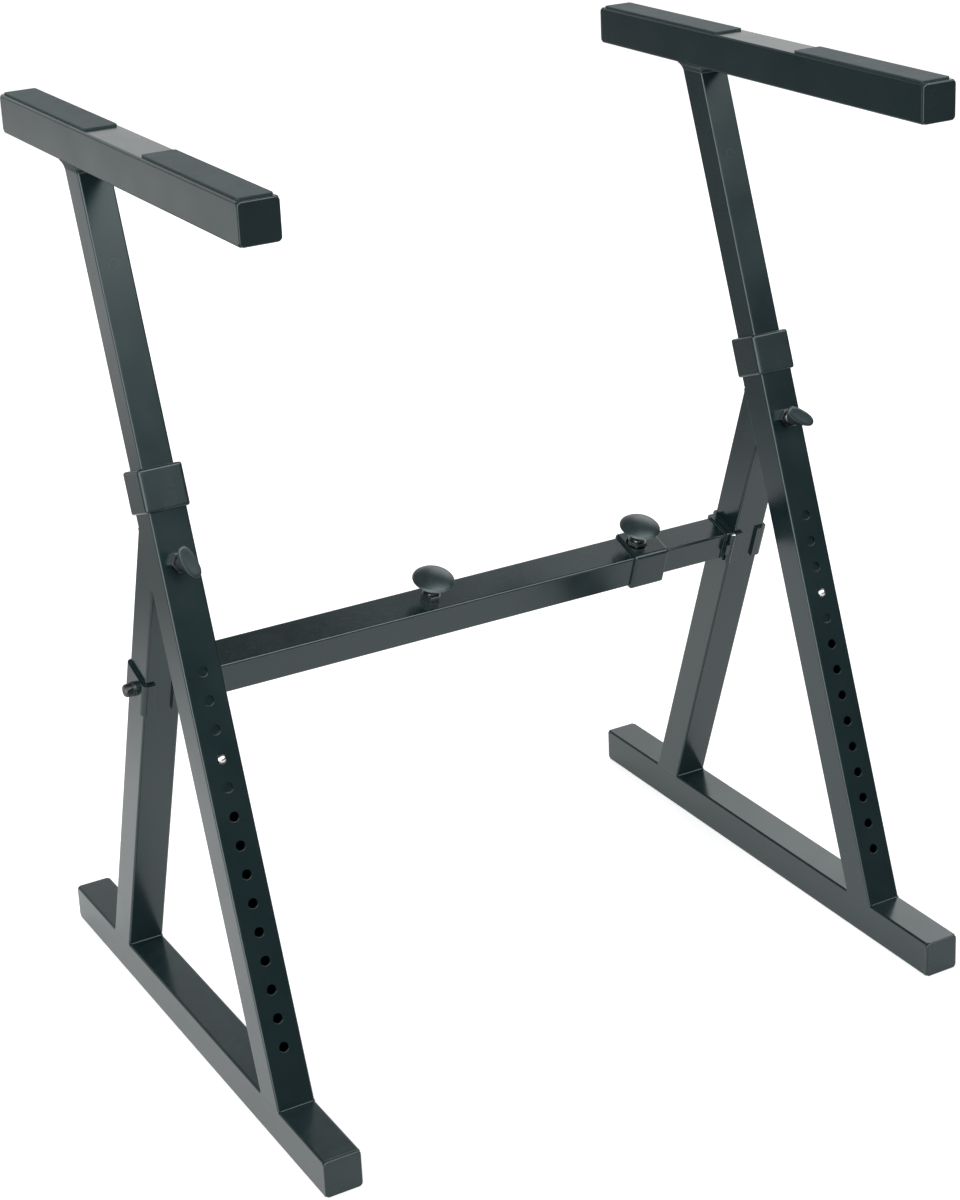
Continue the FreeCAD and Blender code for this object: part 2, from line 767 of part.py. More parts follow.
# The inner saddle carries the two end knuckles of the hinge
inner_saddle = new_body("left_inner_saddle", saddle_frame)
saddle_ring(inner_saddle, inner_flange, 1)
barrel = new_sketch(inner_saddle, "barrel", "XY_Plane")
circle(barrel, "barrel", barrel_radius * 2, barrel_x, barrel_y)
pad(inner_saddle, "barrel", barrel, saddle_height, "both")
relief = new_sketch(inner_saddle, "relief", "XY_Plane")
circle(relief, "relief", (barrel_radius + barrel_gap) * 2, barrel_x, barrel_y)
pocket(inner_saddle, "relief", relief, middle_knuckle + barrel_gap * 2)
pin_bore = new_sketch(inner_saddle, "pin_bore", "XY_Plane")
circle(pin_bore, "pin", pin_width, barrel_x, barrel_y)
pocket(inner_saddle, "pin_bore", pin_bore, saddle_height + saddle_sheet)
sides.append(inner_saddle)

# The hinge plate closes the crossbar's end and carries the middle knuckle
hinge_plate = new_body("left_hinge_plate", saddle_frame)
plate_from = half_tube + saddle_sheet + plate_gap
plate = new_sketch(hinge_plate, "plate", "YZ_Plane", plate_from)
rounded_rectangle(plate, "plate", tube_side, tube_side, tube_round)
pad(hinge_plate, "plate", plate, plate_thick)
sweep = new_sketch(hinge_plate, "sweep", "XY_Plane")
circle(sweep, "sweep", (barrel_radius + barrel_gap) * 2, barrel_x, barrel_y)
pocket(hinge_plate, "sweep", sweep, saddle_height + saddle_sheet)
knuckle = new_sketch(hinge_plate, "knuckle", "XY_Plane")
circle(knuckle, "knuckle", barrel_radius * 2, barrel_x, barrel_y)
ear = new_sketch(hinge_plate, "ear", "XY_Plane")
rectangle(ear, "ear", plate_from, barrel_y - ear_front, plate_from + plate_thick,
          barrel_y + ear_back)
pad(hinge_plate, "ear", ear, middle_knuckle, "both")
pad(hinge_plate, "knuckle", knuckle, middle_knuckle, "both")
plate_bore = new_sketch(hinge_plate, "pin_bore", "XY_Plane")
circle(plate_bore, "pin", pin_width + pin_gap * 2, barrel_x, barrel_y)
pocket(hinge_plate, "pin_bore", plate_bore, saddle_height + saddle_sheet)
dog_hole = new_sketch(hinge_plate, "dog_hole", "YZ_Plane")
circle(dog_hole, "dog", dog_width + dog_gap * 2)
pocket(hinge_plate, "dog_hole", dog_hole, plate_from + plate_thick * 2, "with")
sides.append(hinge_plate)

# Hinge pin: headed at the top, flush at the bottom
hinge_pin = new_body("left_hinge_pin", saddle_frame.moved(barrel_x, barrel_y, ZERO))
pin = new_sketch(hinge_pin, "section", "XZ_Plane")
head = pin_head_width / 2
outline(pin, "pin", [
    (ZERO, -saddle_height / 2), (pin_width / 2, -saddle_height / 2),
    (pin_width / 2, saddle_height / 2), (head, saddle_height / 2),
    (head, saddle_height / 2 + pin_head_tall / 3), (ZERO, saddle_height / 2 + pin_head_tall)],
    domes=[4])
revolve(hinge_pin, "pin", pin, "V_Axis")
sides.append(hinge_pin)

# Lock bolt through the strut, its dog point in the hinge plate
lock_bolt = new_body("left_lock_bolt", saddle_frame)
shank = new_sketch(lock_bolt, "section", "XY_Plane")
seat = -(half_tube + saddle_sheet)
head_end = seat - bolt_head_long
dog_end = plate_from + dog_long
outline(shank, "bolt", [
    (head_end, ZERO), (head_end, bolt_head_flats / 2 - bolt_head_edge),
    (head_end + bolt_head_edge, bolt_head_flats / 2),
    (seat - bolt_flange, bolt_head_width / 2 - bolt_head_edge / 4),
    (seat, bolt_head_width / 2), (seat, bolt_width / 2),
    (-seat, bolt_width / 2), (-seat, dog_width / 2),
    (dog_end - dog_edge, dog_width / 2), (dog_end, dog_width / 2 - dog_edge),
    (dog_end, ZERO)])
revolve(lock_bolt, "shank", shank, "H_Axis")
flat = new_sketch(lock_bolt, "flat", "YZ_Plane", head_end)
rectangle(flat, "flat", -bolt_head_width, bolt_head_flats / 2, bolt_head_width,
          bolt_head_width)
first_flat = pocket(lock_bolt, "flat", flat, bolt_head_long - bolt_flange, "with")
flats = lock_bolt.newObject("PartDesign::PolarPattern", "left_lock_bolt_flats")
flats.Originals = [first_flat]
flats.Axis = (flat, ["N_Axis"])
flats.Angle = 360.0
flats.Occurrences = 6
lock_bolt.Tip = flats
sides.append(lock_bolt)


# ---------------------------------------------------------------- left upright

post_stock = square_tube("left_post_stock", leg_frame, "XY_Plane", inner_side, inner_wall,
                         inner_round, post_from, post_reach - post_from + tube_side / 2)
button_hole = new_sketch(post_stock, "button_hole", "XZ_Plane")
circle(button_hole, "button", hole_bore, ZERO, button_at)
pocket(post_stock, "button_hole", button_hole, half_inner + inner_wall, "with")
plain_hole = new_sketch(post_stock, "plain_hole", "XZ_Plane")
circle(plain_hole, "plain", post_hole_bore, ZERO, post_hole_at)
pocket(post_stock, "plain_hole", plain_hole, half_inner + inner_wall, "with")
sides.append(cut("left_inner_post", post_stock, arm_block))
sides.append(guide("left_post_guide", leg_frame, "XY_Plane", post_from, "against"))

sides.append(square_tube("left_arm_tube", arm_frame, "XZ_Plane", tube_side, tube_wall,
                         tube_round, None, arm_length - cap_flange * 2, "both"))
arm_front = end_cap("left_arm_front_cap",
                    arm_frame.moved(ZERO, cap_flange - arm_length / 2, ZERO))
arm_back = mirrored(arm_front, "left_arm_back_cap", Vector(0, 1, 0), arm_shift)
sides += [arm_front, arm_back]


def arm_pad(name, length, middle):
    body = new_body(name, arm_frame.moved(ZERO, middle, half_tube))
    sketch = new_sketch(body, "plan", "XY_Plane")
    rounded_rectangle(sketch, "plan", tube_side - pad_inset * 2, length, pad_round)
    pad(body, "thick", sketch, pad_thick)
    soften("Fillet", body, "edge", pad_edge, at_level("z", pad_thick))
    return body


pad_end = arm_length / 2 - cap_flange - pad_end_gap
sides.append(arm_pad("left_front_pad", front_pad_length, front_pad_length / 2 - pad_end))
sides.append(arm_pad("left_back_pad", back_pad_length, pad_end - back_pad_length / 2))

# Snap button: a domed pin on an axis along -Y, flanged behind the post's front wall
button_frame = leg_frame.moved(ZERO, ZERO, button_at)
snap_button = new_body("left_snap_button", button_frame)
button = new_sketch(snap_button, "section", "XY_Plane")
tip = -(half_tube + button_out)
wall = -(half_inner - inner_wall - plug_gap)
outline(button, "button", [
    (ZERO, tip), (button_width / 2, tip + button_width / 3), (button_width / 2, wall),
    (button_flange / 2, wall), (button_flange / 2, wall + button_flange_thick),
    (ZERO, wall + button_flange_thick)], domes=[0])
revolve(snap_button, "button", button, "V_Axis")
sides.append(snap_button)

# The leaf that carries the button, behind its flange
snap_leaf = new_body("left_snap_leaf", button_frame)
leaf = new_sketch(snap_leaf, "side", "YZ_Plane")
leaf_face = wall + button_flange_thick
rectangle(leaf, "leaf", leaf_face, -leaf_below, leaf_face + leaf_thick,
          leaf_length - leaf_below)
pad(snap_leaf, "width", leaf, leaf_width, "both")
sides.append(snap_leaf)

# Clamp stud through the leg nut, just clear of the post
wing_stud = new_body("left_wing_stud", leg_face)
stud = new_sketch(wing_stud, "section", "XY_Plane")
stud_tip = half_tube - half_inner - tip_gap
outline(stud, "stud", [
    (ZERO, stud_tip), (stud_width / 2 - dog_edge, stud_tip),
    (stud_width / 2, stud_tip - dog_edge), (stud_width / 2, -(wing_off + stud_grip)),
    (ZERO, -(wing_off + stud_grip))])
revolve(wing_stud, "stud", stud, "V_Axis")
sides.append(wing_stud)


# ---------------------------------------------------------------- right side

nodes = list(sides)
for piece in sides:
    nodes.append(mirrored(piece, piece.Label.replace("left_", "right_")))

nodes.append(wing_knob("left_wing_knob", leg_face, left_wing_turn))
right_face = Frame(-leg_face.x, leg_face.y, leg_face.z, leg_lean, -1)
nodes.append(wing_knob("right_wing_knob", right_face, right_wing_turn))


# ---------------------------------------------------------------- crossbar

bar_tube = square_tube("crossbar_outer_tube", bar_frame, "YZ_Plane", tube_side, tube_wall,
                       tube_round, bar_left, bar_tube_length)
collar_left = bar_end + collar_lip - collar_length
knob_spots = [bar_left + left_knob_at, collar_left + right_knob_in]
for number, spot in enumerate(knob_spots):
    stud_hole = new_sketch(bar_tube, "stud_hole_%d" % number, "XY_Plane")
    circle(stud_hole, "stud", stud_width + stud_hole_gap * 2, spot, ZERO)
    pocket(bar_tube, "stud_hole_%d" % number, stud_hole, half_tube + tube_wall, "with")
nodes.append(bar_tube)

bar_collar = collar("crossbar_collar", bar_frame, "YZ_Plane", collar_left, "x")
nut_hole = new_sketch(bar_collar, "nut_hole", "XY_Plane")
nut_across = nut_flats * (2 / math.sqrt(3))
circle(nut_hole, "nut", nut_across + nut_clear * 2, knob_spots[1], ZERO)
pocket(bar_collar, "nut_hole", nut_hole, tube_side, "with")
nodes.append(bar_collar)

nodes.append(square_tube("crossbar_inner_tube", bar_frame, "YZ_Plane", inner_side,
                         inner_wall, inner_round, -bar_left - inner_bar_length,
                         inner_bar_length))
nodes.append(guide("crossbar_guide", bar_frame, "YZ_Plane", -bar_left - inner_bar_length,
                   "against"))

for hand, spot in zip(("left", "right"), knob_spots):
    spot_frame = bar_frame.moved(spot, ZERO, half_tube)
    nodes.append(weld_nut("crossbar_nut_" + hand, spot_frame, "XY_Plane", "with"))
    nodes.append(dome_stud("width_stud_" + hand, spot_frame))
    nodes.append(dome_knob("width_knob_" + hand, spot_frame))


# ---------------------------------------------------------------- check and write

doc.recompute()
faults = []
for item in doc.Objects:
    if "Invalid" in item.State or "Error" in item.State:
        faults.append("%s is %s" % (item.Name, ", ".join(item.State)))
for node in nodes:
    shape = node.Shape
    if shape.isNull() or not shape.isValid():
        faults.append("%s has no valid shape" % node.Label)
    elif len(shape.Solids) != 1:
        faults.append("%s has %d solids" % (node.Label, len(shape.Solids)))
if faults:
    raise RuntimeError("; ".join(faults))

os.makedirs("parts", exist_ok=True)
for node in nodes:
    node.Shape.exportStep("parts/%s.step" % node.Label)
print("%d pieces written" % len(nodes))
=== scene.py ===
import math

import bmesh
import bpy
from mathutils import Matrix, Vector


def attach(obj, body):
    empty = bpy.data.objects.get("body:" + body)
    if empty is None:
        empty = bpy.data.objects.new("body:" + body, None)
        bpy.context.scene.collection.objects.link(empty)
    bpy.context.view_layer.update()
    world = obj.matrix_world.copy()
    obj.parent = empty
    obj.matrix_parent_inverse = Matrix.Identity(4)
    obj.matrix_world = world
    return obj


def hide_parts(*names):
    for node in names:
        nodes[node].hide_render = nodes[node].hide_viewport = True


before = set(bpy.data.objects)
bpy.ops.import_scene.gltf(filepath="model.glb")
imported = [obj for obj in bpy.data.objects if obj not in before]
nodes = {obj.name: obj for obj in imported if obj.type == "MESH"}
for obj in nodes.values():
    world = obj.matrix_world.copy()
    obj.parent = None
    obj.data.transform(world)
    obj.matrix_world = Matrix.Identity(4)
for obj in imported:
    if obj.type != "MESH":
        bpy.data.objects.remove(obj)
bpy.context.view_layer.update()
sides = ((-1, "left"), (1, "right"))
print("frame loaded with", len(nodes), "pieces")

# the sizes of the stand that several of the scene's own pieces share
stand = dict(
    sideX=0.3155,  # middle of a side frame
    tubeHalf=0.0175, postHalf=0.015, wall=0.002,
    legFoot=(-0.175, 0.035), legLean=math.radians(19.36),  # the leg's foot (y, z), its lean back
    barMiddle=(0.05077, 0.34113), barLean=math.radians(19.77),
    seams=(  # where a side frame's tubes meet: both ends (y, z), and the way into the metal
        ((-0.19355, 0.035), (-0.15645, 0.035), (0.0, -1.0)),
        ((0.1422, 0.035), (0.1794, 0.035), (0.0, -1.0)),
        ((-0.00881, 0.45517), (0.00957, 0.50749), (-0.9435, 0.3315))),
)


# helpers for node trees
def addGroup(name, inputs, outputs):
    group = bpy.data.node_groups.new(name, "ShaderNodeTree")
    kind = "NodeSocketFloat"
    for label, value in inputs:
        socket = group.interface.new_socket(name=label, in_out="INPUT", socket_type=kind)
        socket.default_value = value
    for label in outputs:
        group.interface.new_socket(name=label, in_out="OUTPUT", socket_type=kind)
    return group, group.nodes.new("NodeGroupInput"), group.nodes.new("NodeGroupOutput")


def plug(tree, value, socket):
    if isinstance(value, (int, float, tuple)):
        socket.default_value = value
    else:
        tree.links.new(value, socket)


def addMath(tree, operation, first, second=0.0, clamp=False):
    node = tree.nodes.new("ShaderNodeMath")
    node.operation = operation
    node.use_clamp = clamp
    plug(tree, first, node.inputs[0])
    plug(tree, second, node.inputs[1])
    return node.outputs[0]


def addDot(tree, first, second):
    node = tree.nodes.new("ShaderNodeVectorMath")
    node.operation = "DOT_PRODUCT"
    plug(tree, first, node.inputs[0])
    plug(tree, second, node.inputs[1])
    return node.outputs["Value"]


def addNoise(tree, vector, scale, detail=2.0, roughness=0.5):
    node = tree.nodes.new("ShaderNodeTexNoise")
    plug(tree, vector, node.inputs["Vector"])
    plug(tree, scale, node.inputs["Scale"])
    node.inputs["Detail"].default_value = detail
    node.inputs["Roughness"].default_value = roughness
    return node.outputs["Fac"]


def addSpan(tree, value, low, high, toLow=0.0, toHigh=1.0):
    node = tree.nodes.new("ShaderNodeMapRange")
    node.clamp = True
    plug(tree, value, node.inputs["Value"])
    for label, number in (("From Min", low), ("From Max", high),
                          ("To Min", toLow), ("To Max", toHigh)):
        plug(tree, number, node.inputs[label])
    return node.outputs["Result"]


def addBlend(tree, share, first, second):
    node = tree.nodes.new("ShaderNodeMix")
    node.data_type = "RGBA"
    plug(tree, share, node.inputs["Factor"])
    plug(tree, first, node.inputs[6])  # the Mix node's colours A and B
    plug(tree, second, node.inputs[7])
    return node.outputs[2]


# effects that several finishes share
edgeHighlightLook = dict(samples=4, starts=0.01, full=0.15)
grainLook = dict(detail=3.0, roughness=0.55, cloudRatio=60.0, cloudSpan=(0.3, 0.7),
                 glossSpread=0.03, step=0.0002)
dustLook = dict(facingUp=(0.3, 1.0), patch=(0.42, 0.7), detail=4.0, roughness=0.7,
                scale=120.0, colour=(0.30, 0.31, 0.30, 1.0), dulls=0.4)


def makeEdgeHighlight():  # painted highlight: a lighter colour blended onto convex edges
    group, into, out = addGroup("edgeHighlight", [("Radius", 0.001), ("Amount", 0.5)], ["Mask"])
    bevel = group.nodes.new("ShaderNodeBevel")
    bevel.samples = edgeHighlightLook["samples"]
    group.links.new(into.outputs["Radius"], bevel.inputs["Radius"])
    geometry = group.nodes.new("ShaderNodeNewGeometry")
    turned = addDot(group, bevel.outputs["Normal"], geometry.outputs["Normal"])
    edge = addSpan(group, addMath(group, "SUBTRACT", 1.0, turned),
                   edgeHighlightLook["starts"], edgeHighlightLook["full"])
    highlightMask = addMath(group, "MULTIPLY", edge, into.outputs["Amount"], clamp=True)
    group.links.new(highlightMask, out.inputs["Mask"])
    return group


def makeCoatGrain():  # fine grain for the bump, slow clouds for colour and gloss
    group, into, out = addGroup("coatGrain", [("Scale", 900.0), ("Depth", 0.5)],
                                ["Height", "Cloud"])
    place = group.nodes.new("ShaderNodeTexCoord").outputs["Object"]
    fine = addNoise(group, place, into.outputs["Scale"],
                    grainLook["detail"], grainLook["roughness"])
    slow = addNoise(group, place,
                    addMath(group, "DIVIDE", into.outputs["Scale"], grainLook["cloudRatio"]))
    group.links.new(addMath(group, "MULTIPLY", fine, into.outputs["Depth"]), out.inputs["Height"])
    group.links.new(slow, out.inputs["Cloud"])
    return group


def makeDust():  # a thin film on what faces up
    group, into, out = addGroup("dust", [("Amount", 0.1), ("Scale", 140.0)], ["Mask"])
    place = group.nodes.new("ShaderNodeTexCoord").outputs["Object"]
    geometry = group.nodes.new("ShaderNodeNewGeometry")
    split = group.nodes.new("ShaderNodeSeparateXYZ")
    group.links.new(geometry.outputs["Normal"], split.inputs[0])
    upward = addSpan(group, split.outputs["Z"], *dustLook["facingUp"])
    cloud = addNoise(group, place, into.outputs["Scale"],
                     dustLook["detail"], dustLook["roughness"])
    patch = addSpan(group, cloud, *dustLook["patch"])
    mask = addMath(group, "MULTIPLY", addMath(group, "MULTIPLY", upward, patch),
                   into.outputs["Amount"], clamp=True)
    group.links.new(mask, out.inputs["Mask"])
    return group


edgeHighlight, coatGrain, dust = makeEdgeHighlight(), makeCoatGrain(), makeDust()


def useGroup(tree, group, **values):
    node = tree.nodes.new("ShaderNodeGroup")
    node.node_tree = group
    for label, value in values.items():
        node.inputs[label].default_value = value
    return node.outputs


# the finishes
coolShine = (0.88, 1.0, 1.0, 1.0)  # paint and plastic mirror a little cooler than white
finishLooks = {
    # in each finish, edge is the colour of a painted highlight on convex edges, standing in for the
    # light that corners and rims catch
    "blackCoat": dict(dark=(0.007, 0.018, 0.0205), light=(0.009, 0.022, 0.0245),
                      edge=(0.07, 0.09, 0.092), edgeHighlightRadius=0.0015, edgeHighlightAmount=0.6,
                      rough=0.2, grain=1100.0, depth=0.5, bump=0.1, dust=0.03, ior=1.5),
    "mouldedPlastic": dict(dark=(0.016, 0.027, 0.030), light=(0.022, 0.034, 0.037),
                           edge=(0.10, 0.12, 0.122), edgeHighlightRadius=0.0010, edgeHighlightAmount=0.7,
                           rough=0.34, grain=2200.0, depth=0.6, bump=0.3, dust=0.05, ior=1.46),
    "collarPlastic": dict(dark=(0.011, 0.022, 0.025), light=(0.015, 0.027, 0.030),
                          edge=(0.11, 0.13, 0.132), edgeHighlightRadius=0.0010, edgeHighlightAmount=0.8,
                          rough=0.26, grain=2000.0, depth=0.6, bump=0.2, dust=0.04, ior=1.46),
    "padRubber": dict(dark=(0.018, 0.030, 0.033), light=(0.028, 0.042, 0.045),
                      edge=(0.05, 0.06, 0.06), edgeHighlightRadius=0.0006, edgeHighlightAmount=0.3,
                      rough=0.62, grain=2600.0, depth=0.9, bump=0.5, dust=0.08, ior=1.45),
    "zincPlate": dict(dark=(0.55, 0.56, 0.55), light=(0.72, 0.73, 0.72),
                      edge=(0.85, 0.85, 0.84), edgeHighlightRadius=0.0005, edgeHighlightAmount=0.6,
                      rough=0.28, grain=1800.0, depth=0.3, bump=0.1, dust=0.04,
                      ior=1.5, metal=1.0),
    # the nuts' zinc is painted dark as painted shade, and their edges get a bright painted glint
    "nutPaintedShadeGlint": dict(dark=(0.10, 0.11, 0.115), light=(0.16, 0.17, 0.17),
                         edge=(0.8, 0.8, 0.79), edgeHighlightRadius=0.0006, edgeHighlightAmount=0.8,
                         rough=0.3, grain=1500.0, depth=0.5, bump=0.2, dust=0.02,
                         ior=1.5, metal=1.0),
    "blackOxide": dict(dark=(0.02, 0.026, 0.028), light=(0.03, 0.036, 0.038),
                       edge=(0.3, 0.31, 0.3), edgeHighlightRadius=0.0006, edgeHighlightAmount=0.5,
                       rough=0.38, grain=1600.0, depth=0.4, bump=0.2, dust=0.03,
                       ior=1.5, metal=0.3),
}
# the crossbar's corners get a stronger painted highlight, and drilled or welded spots get no
# painted edge highlight
finishLooks["barCoat"] = dict(finishLooks["blackCoat"], edge=(0.22, 0.255, 0.257),
                              edgeHighlightAmount=1.0)
finishLooks["plainCoat"] = dict(finishLooks["blackCoat"], edgeHighlightAmount=0.0)


def makeFinish(name, look):
    material = bpy.data.materials.new(name)
    material.use_nodes = True
    tree = material.node_tree
    shader = tree.nodes["Principled BSDF"]
    shader.inputs["Metallic"].default_value = look.get("metal", 0.0)
    shader.inputs["IOR"].default_value = look["ior"]
    if not look.get("metal"):
        shader.inputs["Specular Tint"].default_value = coolShine
    grain = useGroup(tree, coatGrain, Scale=look["grain"], Depth=look["depth"])
    edge = useGroup(tree, edgeHighlight, Radius=look["edgeHighlightRadius"], Amount=look["edgeHighlightAmount"])
    film = useGroup(tree, dust, Amount=look["dust"], Scale=dustLook["scale"])
    base = addBlend(tree, grain["Cloud"], look["dark"] + (1.0,), look["light"] + (1.0,))
    # painted highlight: convex edges blended towards the lighter edge colour
    base = addBlend(tree, edge["Mask"], base, look["edge"] + (1.0,))
    base = addBlend(tree, film["Mask"], base, dustLook["colour"])
    plug(tree, base, shader.inputs["Base Color"])
    spread = grainLook["glossSpread"]
    rough = addSpan(tree, grain["Cloud"], *grainLook["cloudSpan"],
                    look["rough"] - spread, look["rough"] + spread)
    dulled = addMath(tree, "MULTIPLY", film["Mask"], dustLook["dulls"])
    plug(tree, addMath(tree, "ADD", rough, dulled, clamp=True), shader.inputs["Roughness"])
    bump = tree.nodes.new("ShaderNodeBump")
    bump.inputs["Strength"].default_value = look["bump"]
    bump.inputs["Distance"].default_value = grainLook["step"]
    plug(tree, grain["Height"], bump.inputs["Height"])
    plug(tree, bump.outputs["Normal"], shader.inputs["Normal"])
    return material


finishes = {name: makeFinish(name, look) for name, look in finishLooks.items()}


def finishOf(name):
    for words, finish in ((("cap", "collar", "guide"), "collarPlastic"),
                          (("knob",), "mouldedPlastic"), (("pad",), "padRubber"),
                          (("nut",), "nutPaintedShadeGlint"),
                          (("stud", "pin", "leaf", "button"), "zincPlate"),
                          (("bolt",), "blackOxide"), (("crossbar",), "barCoat")):
        if any(word in name for word in words):
            return finish
    return "blackCoat"


for nodeName, node in nodes.items():
    finish = finishOf(nodeName)
    node.data.materials.clear()
    node.data.materials.append(finishes[finish])
print("finishes on")


# helpers for the scene's own pieces
def legPlace(side):  # origin on the foot's top, z up the leg, -y out of its front face
    return (Matrix.Translation((side * stand["sideX"], *stand["legFoot"]))
            @ Matrix.Rotation(-stand["legLean"], 4, "X"))


def barPlace():  # origin in the crossbar's middle line, z out of its top face
    return (Matrix.Translation((0.0, *stand["barMiddle"]))
            @ Matrix.Rotation(stand["barLean"], 4, "X"))


def newPiece(name, verts, faces, edges=()):
    mesh = bpy.data.meshes.new(name)
    mesh.from_pydata([tuple(v) for v in verts], list(edges), list(faces))
    piece = bpy.data.objects.new(name, mesh)
    bpy.context.scene.collection.objects.link(piece)
    return piece


def outward(piece):
    shell = bmesh.new()
    shell.from_mesh(piece.data)
    bmesh.ops.recalc_face_normals(shell, faces=shell.faces)
    shell.to_mesh(piece.data)
    shell.free()


def loft(name, rings, smooth):  # a skin over closed rings of points, capped at both ends
    verts, count = [spot for ring in rings for spot in ring], len(rings[0])
    faces = [(r * count + k, r * count + (k + 1) % count,
              (r + 1) * count + (k + 1) % count, (r + 1) * count + k)
             for r in range(len(rings) - 1) for k in range(count)]
    last = len(verts) - 1
    faces += [tuple(range(count)), tuple(range(last, last - count, -1))]
    piece = newPiece(name, verts, faces)
    outward(piece)
    for polygon in piece.data.polygons:
        polygon.use_smooth = smooth and len(polygon.vertices) == 4
    return piece


def startTree(name, inputs):
    tree = bpy.data.node_groups.new(name, "GeometryNodeTree")
    tree.interface.new_socket(name="Geometry", in_out="INPUT", socket_type="NodeSocketGeometry")
    keys = {}
    for label, kind, value in inputs + [("Finish", "Material", None)]:
        socket = tree.interface.new_socket(name=label, in_out="INPUT",
                                           socket_type="NodeSocket" + kind)
        if value is not None:
            socket.default_value = value
        keys[label] = socket.identifier
    tree.interface.new_socket(name="Geometry", in_out="OUTPUT", socket_type="NodeSocketGeometry")
    return tree, keys, tree.nodes.new("NodeGroupInput")


def endTree(tree, into, shape):
    real = tree.nodes.new("GeometryNodeRealizeInstances")
    coat = tree.nodes.new("GeometryNodeSetMaterial")
    smooth = tree.nodes.new("GeometryNodeSetShadeSmooth")
    tree.links.new(shape, smooth.inputs["Geometry"])
    tree.links.new(smooth.outputs[0], real.inputs[0])
    tree.links.new(real.outputs[0], coat.inputs["Geometry"])
    tree.links.new(into.outputs["Finish"], coat.inputs["Material"])
    tree.links.new(coat.outputs[0], tree.nodes.new("NodeGroupOutput").inputs[0])


def sweep(tree, path, ring, scale=None):  # a ring drawn along a path, closed at its ends
    rope = tree.nodes.new("GeometryNodeCurveToMesh")
    rope.inputs["Fill Caps"].default_value = True
    tree.links.new(path, rope.inputs["Curve"])
    tree.links.new(ring, rope.inputs["Profile Curve"])
    if scale is not None:
        tree.links.new(scale, rope.inputs["Scale"])
    return rope.outputs[0]


def bakeTree(piece, treeAndKeys, finish, **values):
    modifier = piece.modifiers.new("build", "NODES")
    modifier.node_group = treeAndKeys[0]
    for label, value in dict(values, Finish=finishes[finish]).items():
        modifier[treeAndKeys[1][label]] = value
    ready = piece.evaluated_get(bpy.context.evaluated_depsgraph_get())
    mesh = bpy.data.meshes.new_from_object(ready)
    piece.modifiers.remove(modifier)
    piece.data = mesh


def fit(piece, finish, body, replaced=None):
    if not piece.data.materials:
        piece.data.materials.append(finishes[finish])
    if replaced:
        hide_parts(replaced)
    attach(piece, body)


# weld beads, a rippled rope of metal along each joint of a side frame
beadLook = dict(bead=0.0008, pitch=0.0020, ripple=0.06, unevenness=0.3, driftScale=90.0,
                stepsPerRipple=4.0, round=12, halfWidth=0.0155)


def makeBeadTree():
    tree, keys, into = startTree("weldBead", [
        ("Bead", "Float", 0.003), ("Pitch", "Float", 0.0024),
        ("Ripple", "Float", 0.12), ("Unevenness", "Float", 0.3)])
    path = tree.nodes.new("GeometryNodeMeshToCurve")
    tree.links.new(into.outputs["Geometry"], path.inputs[0])
    steps = tree.nodes.new("GeometryNodeResampleCurve")
    steps.mode = "LENGTH"
    tree.links.new(path.outputs[0], steps.inputs["Curve"])
    tree.links.new(addMath(tree, "DIVIDE", into.outputs["Pitch"], beadLook["stepsPerRipple"]),
                   steps.inputs["Length"])
    along = tree.nodes.new("GeometryNodeSplineParameter").outputs["Length"]
    turn = addMath(tree, "DIVIDE", addMath(tree, "MULTIPLY", along, math.pi),
                   into.outputs["Pitch"])
    wave = addMath(tree, "MULTIPLY", addMath(tree, "ABSOLUTE", addMath(tree, "SINE", turn)),
                   into.outputs["Ripple"])
    drift = addNoise(tree, tree.nodes.new("GeometryNodeInputPosition").outputs[0],
                     beadLook["driftScale"])
    drift = addMath(tree, "MULTIPLY", addMath(tree, "SUBTRACT", drift, 0.5),
                    into.outputs["Unevenness"])
    girth = addMath(tree, "MULTIPLY", into.outputs["Bead"],
                    addMath(tree, "ADD", addMath(tree, "ADD", wave, drift), 1.0))
    ring = tree.nodes.new("GeometryNodeCurvePrimitiveCircle")
    ring.inputs["Resolution"].default_value = beadLook["round"]
    ring.inputs["Radius"].default_value = 1.0  # girth scales it
    endTree(tree, into, sweep(tree, steps.outputs[0], ring.outputs[0], girth))
    return tree, keys


beadTree = makeBeadTree()
for side, label in sides:
    ends = []
    for y, z in [end for seam in stand["seams"] for end in seam[:2]]:
        ends += [(side * stand["sideX"] + reach, y, z)
                 for reach in (-beadLook["halfWidth"], beadLook["halfWidth"])]
    bead = newPiece(label + "FrameWelds", ends, [], [(k, k + 1) for k in range(0, len(ends), 2)])
    bakeTree(bead, beadTree, "plainCoat", Bead=beadLook["bead"], Pitch=beadLook["pitch"],
             Ripple=beadLook["ripple"], Unevenness=beadLook["unevenness"])
    fit(bead, "plainCoat", label + "_frame")
print("weld beads laid")


# the hollow fillet where each post meets its arm
filletLook = dict(
    armUnder=0.810, postY=0.0973, slope=0.3513, halfX=0.015, halfY=0.0159,
    corner=0.0022, ripple=0.00012, waves=46, quarter=12,
    rings=(  # height, reach in x, reach in y
        (0.8106, -0.0030, -0.0030), (0.8103, 0.0021, 0.0042), (0.8097, 0.0020, 0.0037),
        (0.8089, 0.0015, 0.0027), (0.8079, 0.0010, 0.0018), (0.8067, 0.0006, 0.0011),
        (0.8053, 0.0003, 0.0005), (0.8038, 0.0001, 0.0002), (0.8026, -0.0030, -0.0030)))


